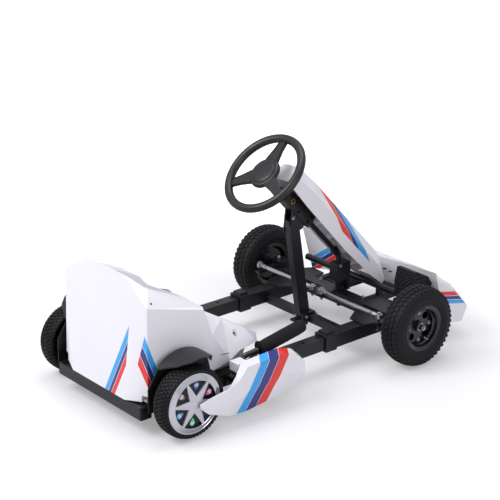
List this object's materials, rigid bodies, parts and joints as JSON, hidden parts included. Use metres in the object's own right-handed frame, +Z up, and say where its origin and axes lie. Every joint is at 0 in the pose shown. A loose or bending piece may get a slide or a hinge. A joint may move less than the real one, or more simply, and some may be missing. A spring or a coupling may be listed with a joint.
{
  "type": "kids electric go-kart",
  "caption": "Child's electric go-kart: faceted bucket seat shell, tube frame of adjustable length, steered front wheels, spoked hub-motor rear wheels, nose fairing and bumper.",
  "frame": {"origin": "on the ground, at the bottom centre of the overall box", "axes": "+X forward, +Y to the driver's left, +Z up"},
  "size_m": [1.279, 0.798, 0.7066],
  "materials": {
    "white_plastic": "moulded, glossy",
    "black_frame": "powder coat, satin",
    "tyre": "tread, matt",
    "alloy": "machined and polished",
    "black_rim": "gloss black",
    "motor_black": "satin",
    "foam": "foam, matt",
    "black_plastic": "grained",
    "zinc": "zinc plated"
  },
  "bodies": {
    "frame": {"seat_shell": "white_plastic", "rear_crossbar": "black_frame", "side_rail_left": "black_frame", "side_rail_right": "black_frame", "seat_crossbar": "black_frame", "rail_sleeve_left": "black_frame", "rail_sleeve_right": "black_frame", "cross_tube": "black_frame", "steering_post": "black_frame", "column_housing": "black_frame", "column_bracket": "black_frame", "axle_beam": "black_frame", "gusset_left": "black_frame", "gusset_right": "black_frame", "rear_axle_left": "black_frame", "rear_axle_right": "black_frame", "fender_left": "black_plastic", "fender_right": "black_plastic", "side_pod_left": "white_plastic", "side_pod_right": "white_plastic", "pod_bracket_left": "black_frame", "pod_bracket_right": "black_frame", "lever_bracket": "black_frame", "nose_fairing": "white_plastic", "front_bumper": "white_plastic", "nose_frame": "black_frame", "floor_tray": "black_frame", "pedal_bar": "black_frame", "pedal_right": "black_plastic"},
    "steering": {"steering_wheel": "black_plastic", "steering_shaft": "black_frame"},
    "pitman": {"pitman_shaft": "black_frame"},
    "tie_left": {"tie_rod_left": "zinc"},
    "tie_right": {"tie_rod_right": "zinc"},
    "knuckle_l": {"knuckle_left": "black_frame"},
    "knuckle_r": {"knuckle_right": "black_frame"},
    "front_wheel_l": {"front_rim_left": "black_rim", "front_tyre_left": "tyre"},
    "front_wheel_r": {"front_rim_right": "black_rim", "front_tyre_right": "tyre"},
    "rear_wheel_l": {"rear_rim_left": "alloy", "rear_tyre_left": "tyre", "hub_motor_left": "motor_black"},
    "rear_wheel_r": {"rear_rim_right": "alloy", "rear_tyre_right": "tyre", "hub_motor_right": "motor_black"},
    "lever": {"hand_lever": "black_frame", "lever_grip": "foam"}
  },
  "joints": [
    {"name": "steer", "type": "hinge", "parent": "frame", "child": "steering", "pos_m": [-0.0115, 0, 0.617], "axis": [-0.6786, 0, 0.7345], "range_deg": [-20, 20]},
    {"name": "pitman_turn", "type": "hinge", "parent": "frame", "child": "pitman", "pos_m": [0.3165, 0, 0.2], "axis": [0, 0, 1], "range_deg": [-20, 20]},
    {"name": "kingpin_l", "type": "hinge", "parent": "frame", "child": "knuckle_l", "pos_m": [0.3165, 0.296, 0.13], "axis": [0, 0, 1], "range_deg": [-20, 20]},
    {"name": "tie_l", "type": "hinge", "parent": "pitman", "child": "tie_left", "pos_m": [0.2245, 0.022, 0.162], "axis": [0, 0, 1], "range_deg": [-23, 23]},
    {"name": "front_spin_l", "type": "hinge", "parent": "knuckle_l", "child": "front_wheel_l", "pos_m": [0.3165, 0.36, 0.13], "axis": [0, 1, 0], "continuous": true},
    {"name": "rear_spin_l", "type": "hinge", "parent": "frame", "child": "rear_wheel_l", "pos_m": [-0.5285, 0.29, 0.11], "axis": [0, 1, 0], "continuous": true},
    {"name": "kingpin_r", "type": "hinge", "parent": "frame", "child": "knuckle_r", "pos_m": [0.3165, -0.296, 0.13], "axis": [0, 0, 1], "range_deg": [-20, 20]},
    {"name": "tie_r", "type": "hinge", "parent": "pitman", "child": "tie_right", "pos_m": [0.2245, -0.022, 0.162], "axis": [0, 0, 1], "range_deg": [-23, 23]},
    {"name": "front_spin_r", "type": "hinge", "parent": "knuckle_r", "child": "front_wheel_r", "pos_m": [0.3165, -0.36, 0.13], "axis": [0, 1, 0], "continuous": true},
    {"name": "rear_spin_r", "type": "hinge", "parent": "frame", "child": "rear_wheel_r", "pos_m": [-0.5285, -0.29, 0.11], "axis": [0, 1, 0], "continuous": true},
    {"name": "lever_pull", "type": "hinge", "parent": "frame", "child": "lever", "pos_m": [-0.3305, -0.246, 0.103], "axis": [0, -1, 0], "range_deg": [0, 25]}
  ],
  "couplings": [
    {"joint": "pitman_turn", "follows": "steer", "ratio": 1},
    {"joint": "kingpin_l", "follows": "steer", "ratio": 1},
    {"joint": "tie_l", "follows": "steer", "ratio": -1.118},
    {"joint": "kingpin_r", "follows": "steer", "ratio": 1},
    {"joint": "tie_r", "follows": "steer", "ratio": -1.118}
  ]
}
